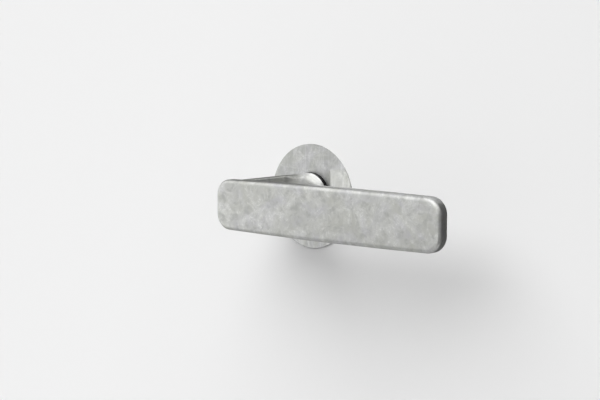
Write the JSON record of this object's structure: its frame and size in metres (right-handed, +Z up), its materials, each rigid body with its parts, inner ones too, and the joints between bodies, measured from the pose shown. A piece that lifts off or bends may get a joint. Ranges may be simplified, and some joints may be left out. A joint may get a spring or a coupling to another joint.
{
  "type": "door lever handle on rose",
  "caption": "Straight flat lever handle on a thin round rose, with a sprung neck that turns down to work a door latch through a square spindle.",
  "frame": {"origin": "spindle axis at the door face", "axes": "+X right along the door towards the grip's free end, +Y into the door, +Z up"},
  "size_m": [0.1428, 0.1099, 0.052],
  "materials": {
    "cast_metal": "tumbled raw casting, mottled satin",
    "cover_metal": "tumbled, faint brush marks",
    "die_cast": "as cast, matte",
    "steel": "bright zinc-plated",
    "spring_steel": "oiled",
    "dark_steel": "black oxide",
    "black_polymer": "matte"
  },
  "bodies": {
    "rose": {"rose_cover": "cover_metal", "base_plate": "die_cast", "cover_clips": "spring_steel", "fixing_bolts": "steel", "bearing_bush": "black_polymer", "cup_lid": "steel", "return_spring": "spring_steel", "slide_washer": "black_polymer"},
    "lever": {"lever": "cast_metal", "spindle": "steel", "grub_screw": "dark_steel", "spring_driver": "steel", "thrust_washer": "steel", "retaining_ring": "dark_steel"}
  },
  "joints": [
    {"name": "lever_turn", "type": "hinge", "parent": "rose", "child": "lever", "pos_m": [0, 0, 0], "axis": [0, 1, 0], "range_deg": [0, 45], "stiffness_Nm_per_rad": 0.6, "springref_deg": -28.65, "deforming": ["return_spring"]}
  ]
}
